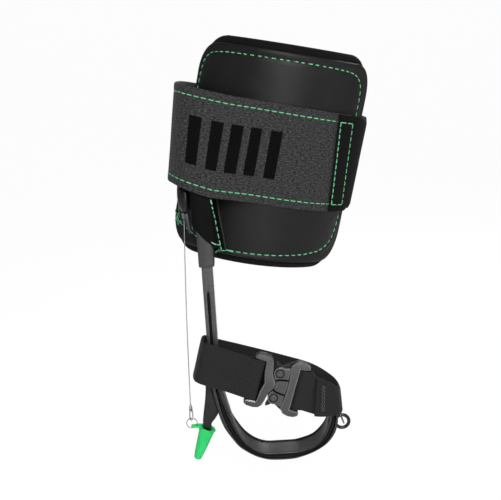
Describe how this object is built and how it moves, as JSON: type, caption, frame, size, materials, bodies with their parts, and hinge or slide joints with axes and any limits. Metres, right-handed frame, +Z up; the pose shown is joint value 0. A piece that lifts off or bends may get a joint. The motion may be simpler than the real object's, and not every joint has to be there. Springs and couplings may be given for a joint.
{
  "type": "tree climbing spur",
  "caption": "Arborist climbing spur: stirrup leg iron with replaceable gaff, wrap calf pad on a height-adjustable sleeve, ankle strap with latch buckle, tethered gaff guard.",
  "frame": {"origin": "centre of the footbed's flat top face, where the boot's arch rests", "axes": "+Z up along the upright bar, +X from the gaff side to the outer arm, -Y towards the toes"},
  "size_m": [0.2451, 0.2184, 0.5047],
  "materials": {
    "coated_iron": "black powder coat",
    "coated_gaff": "black powder coat",
    "bright_steel": "bright zinc",
    "buckle_alloy": "dark grey anodised look",
    "black_webbing": "woven polyester webbing",
    "loop_fabric": "brushed loop pile",
    "smooth_vinyl": "smooth vinyl-coated leather",
    "black_foam": "closed-cell foam",
    "green_rubber": "bright green moulded rubber",
    "gloss_plastic": "glossy black moulding"
  },
  "bodies": {
    "lower_frame": {"shank_stirrup": "coated_iron", "gaff": "coated_gaff", "gaff_screw_lower": "bright_steel", "gaff_screw_upper": "bright_steel", "ankle_strap_rear": "black_webbing", "ankle_strap_short": "black_webbing", "ankle_strap_front": "black_webbing", "buckle_body": "buckle_alloy", "buckle_cover": "buckle_alloy", "latch_rivet_upper": "buckle_alloy", "latch_rivet_lower": "buckle_alloy", "latch_spring_upper": "bright_steel", "latch_spring_lower": "bright_steel", "strap_link": "bright_steel", "tether_wire": "bright_steel"},
    "upper": {"leg_sleeve": "coated_iron", "sleeve_screw_lower": "bright_steel", "sleeve_screw_upper": "bright_steel", "pad_bracket": "coated_iron", "pad_cushion": "black_foam", "pad_cover": "smooth_vinyl", "pocket_panel": "smooth_vinyl", "calf_strap": "loop_fabric", "strap_edge_band": "black_webbing", "reel_case_outer": "gloss_plastic", "reel_case_inner": "gloss_plastic", "reel_axle": "bright_steel", "reel_spring": "bright_steel", "reel_nozzle": "gloss_plastic", "reel_clip": "bright_steel"},
    "tongue": {"buckle_tongue": "buckle_alloy"},
    "latch_a": {"latch_upper": "buckle_alloy"},
    "latch_b": {"latch_lower": "buckle_alloy"},
    "reel_spool": {"reel_drum": "gloss_plastic"},
    "guard": {"gaff_guard": "green_rubber", "swivel_loop": "bright_steel"},
    "ring": {"split_ring": "bright_steel"},
    "barrel": {"swivel_barrel": "bright_steel"}
  },
  "joints": [
    {"name": "pad_height", "type": "slide", "parent": "lower_frame", "child": "upper", "axis": [0, 0, 1], "range_m": [-0.0508, 0.0635], "deforming": ["tether_wire"]},
    {"name": "guard_pull", "type": "slide", "parent": "lower_frame", "child": "guard", "axis": [-0.3602, 0, -0.9329], "range_m": [0, 0.05], "deforming": ["tether_wire"]},
    {"name": "ring_turn", "type": "hinge", "parent": "guard", "child": "ring", "pos_m": [-0.1094, 0, 0.0399], "axis": [0, 1, 0], "continuous": true},
    {"name": "swivel_turn", "type": "hinge", "parent": "guard", "child": "barrel", "pos_m": [-0.1094, 0, 0.0578], "axis": [0, 0, 1], "continuous": true},
    {"name": "reel_turn", "type": "hinge", "parent": "upper", "child": "reel_spool", "pos_m": [-0.0985, 0.018, 0.318], "axis": [1, 0, 0], "range_deg": [0, 200]},
    {"name": "buckle_release", "type": "slide", "parent": "lower_frame", "child": "tongue", "axis": [-0.9532, 0, 0.3024], "range_m": [0, 0.02], "deforming": ["ankle_strap_front"]},
    {"name": "latch_upper_press", "type": "hinge", "parent": "lower_frame", "child": "latch_a", "pos_m": [0.00032, -0.0327, 0.1111], "axis": [0, 1, 0], "range_deg": [-10, 0], "stiffness_Nm_per_rad": 0.03, "springref_deg": 8.59},
    {"name": "latch_lower_press", "type": "hinge", "parent": "lower_frame", "child": "latch_b", "pos_m": [-0.00899, -0.0327, 0.08174], "axis": [0, 1, 0], "range_deg": [0, 10], "stiffness_Nm_per_rad": 0.03, "springref_deg": -8.59}
  ],
  "couplings": [
    {"joint": "reel_turn", "follows": "guard_pull", "rad_per_m": 68}
  ]
}
